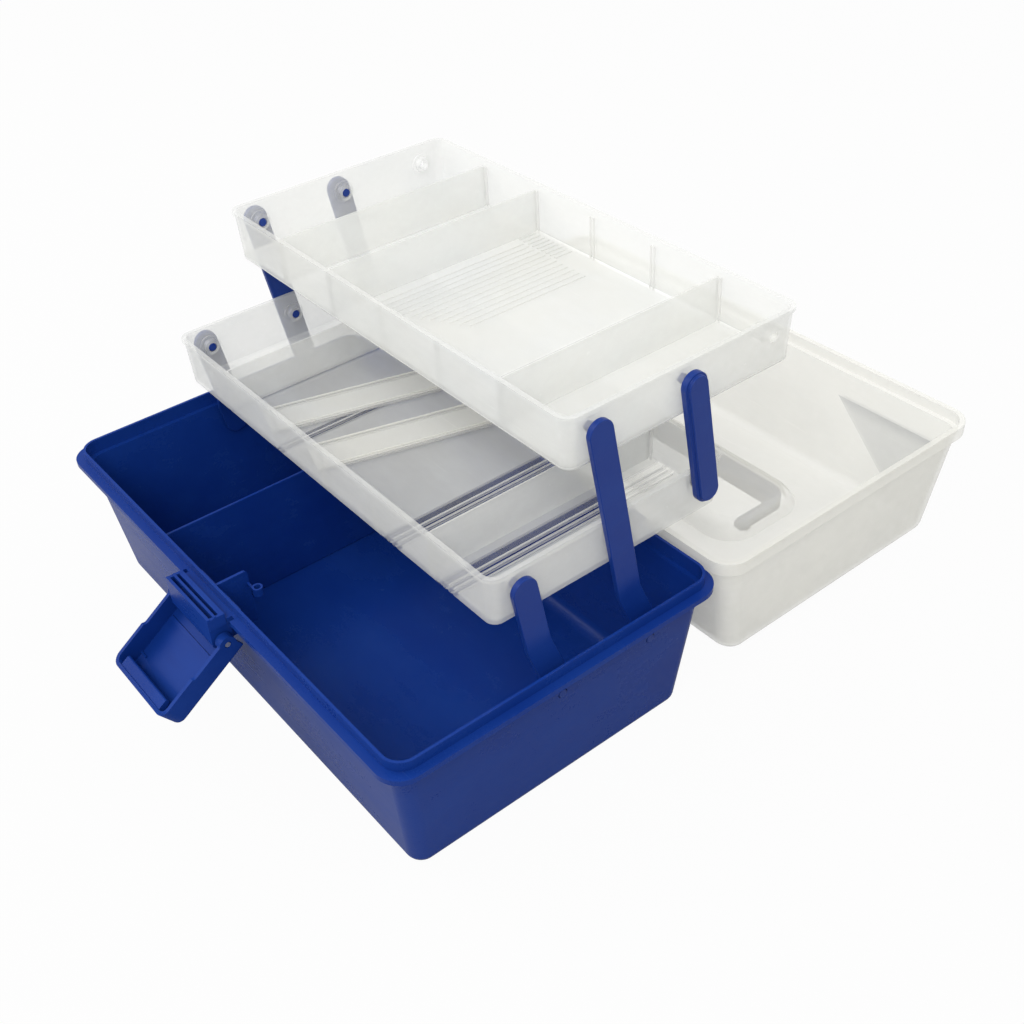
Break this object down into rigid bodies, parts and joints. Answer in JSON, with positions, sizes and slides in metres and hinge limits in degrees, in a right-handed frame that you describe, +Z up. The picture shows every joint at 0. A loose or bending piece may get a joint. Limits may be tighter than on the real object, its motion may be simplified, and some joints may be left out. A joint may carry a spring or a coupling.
{
  "type": "sewing box with trays",
  "caption": "Open sewing box with a blue base, frosted hinged lid, cantilever trays on swinging links, tray dividers, a front latch and a folding handle.",
  "frame": {"origin": "centre of the underside of the base", "axes": "+X to the right along the length, +Y from the latch to the hinge, +Z up"},
  "size_m": [0.36, 0.4878, 0.2213],
  "materials": {
    "base_blue": "satin moulded polypropylene",
    "latch_blue": "satin moulded polypropylene",
    "link_blue": "satin moulded polypropylene",
    "handle_blue": "satin moulded polypropylene",
    "lid_frosted": "frosted translucent polypropylene",
    "tray_frosted": "frosted translucent polypropylene",
    "divider_frosted": "frosted translucent polypropylene",
    "steel": "drawn wire"
  },
  "bodies": {
    "base": {"base_tub": "base_blue", "base_divider": "base_blue", "latch_pin": "steel", "hinge_pin_left": "steel", "hinge_pin_right": "steel"},
    "lid": {"lid_shell": "lid_frosted"},
    "handle": {"handle": "handle_blue"},
    "latch_flap": {"latch_flap": "latch_blue"},
    "short_link_left": {"short_link_left": "link_blue"},
    "short_link_right": {"short_link_right": "link_blue"},
    "long_link_left": {"long_link_left": "link_blue"},
    "long_link_right": {"long_link_right": "link_blue"},
    "top_link_left": {"top_link_left": "link_blue"},
    "top_link_right": {"top_link_right": "link_blue"},
    "lower_tray": {"lower_tray": "tray_frosted", "lower_tray_divider_left": "divider_frosted", "lower_tray_divider_right": "divider_frosted", "lower_tray_spare_divider_left": "divider_frosted", "lower_tray_spare_divider_right": "divider_frosted"},
    "upper_tray": {"upper_tray": "tray_frosted", "upper_tray_divider_left": "divider_frosted", "upper_tray_divider_middle": "divider_frosted", "upper_tray_divider_right": "divider_frosted"}
  },
  "joints": [
    {"name": "lid_hinge", "type": "hinge", "parent": "base", "child": "lid", "pos_m": [0, 0.1092, 0.0922], "axis": [1, 0, 0], "range_deg": [0, 180]},
    {"name": "latch_hinge", "type": "hinge", "parent": "base", "child": "latch_flap", "pos_m": [0, -0.1135, 0.0765], "axis": [-1, 0, 0], "range_deg": [0, 125]},
    {"name": "handle_pivot", "type": "hinge", "parent": "lid", "child": "handle", "pos_m": [0, 0.2184, 0.0193], "axis": [-1, 0, 0], "range_deg": [0, 90]},
    {"name": "short_link_left_pivot", "type": "hinge", "parent": "base", "child": "short_link_left", "pos_m": [-0.166, 0, 0.072], "axis": [1, 0, 0], "range_deg": [0, 51.6]},
    {"name": "long_link_left_pivot", "type": "hinge", "parent": "base", "child": "long_link_left", "pos_m": [-0.166, 0.061, 0.072], "axis": [1, 0, 0], "range_deg": [0, 51.6]},
    {"name": "short_link_right_pivot", "type": "hinge", "parent": "base", "child": "short_link_right", "pos_m": [0.166, 0, 0.072], "axis": [1, 0, 0], "range_deg": [0, 51.6]},
    {"name": "long_link_right_pivot", "type": "hinge", "parent": "base", "child": "long_link_right", "pos_m": [0.166, 0.061, 0.072], "axis": [1, 0, 0], "range_deg": [0, 51.6]},
    {"name": "lower_tray_pivot", "type": "hinge", "parent": "long_link_right", "child": "lower_tray", "pos_m": [0.156, 0.04895, 0.14035], "axis": [1, 0, 0], "range_deg": [-51.6, 0]},
    {"name": "upper_tray_pivot", "type": "hinge", "parent": "long_link_right", "child": "upper_tray", "pos_m": [0.156, 0.0369, 0.20869], "axis": [1, 0, 0], "range_deg": [-51.6, 0]},
    {"name": "top_link_left_pivot", "type": "hinge", "parent": "lower_tray", "child": "top_link_left", "pos_m": [-0.159, 0.10995, 0.14035], "axis": [1, 0, 0], "range_deg": [0, 51.6]},
    {"name": "top_link_right_pivot", "type": "hinge", "parent": "lower_tray", "child": "top_link_right", "pos_m": [0.159, 0.10995, 0.14035], "axis": [1, 0, 0], "range_deg": [0, 51.6]}
  ],
  "couplings": [
    {"joint": "short_link_left_pivot", "follows": "lid_hinge", "ratio": 0.28611},
    {"joint": "long_link_left_pivot", "follows": "lid_hinge", "ratio": 0.28611},
    {"joint": "short_link_right_pivot", "follows": "lid_hinge", "ratio": 0.28611},
    {"joint": "long_link_right_pivot", "follows": "lid_hinge", "ratio": 0.28611},
    {"joint": "lower_tray_pivot", "follows": "lid_hinge", "ratio": -0.28611},
    {"joint": "upper_tray_pivot", "follows": "lid_hinge", "ratio": -0.28611},
    {"joint": "top_link_left_pivot", "follows": "lid_hinge", "ratio": 0.28611},
    {"joint": "top_link_right_pivot", "follows": "lid_hinge", "ratio": 0.28611}
  ]
}
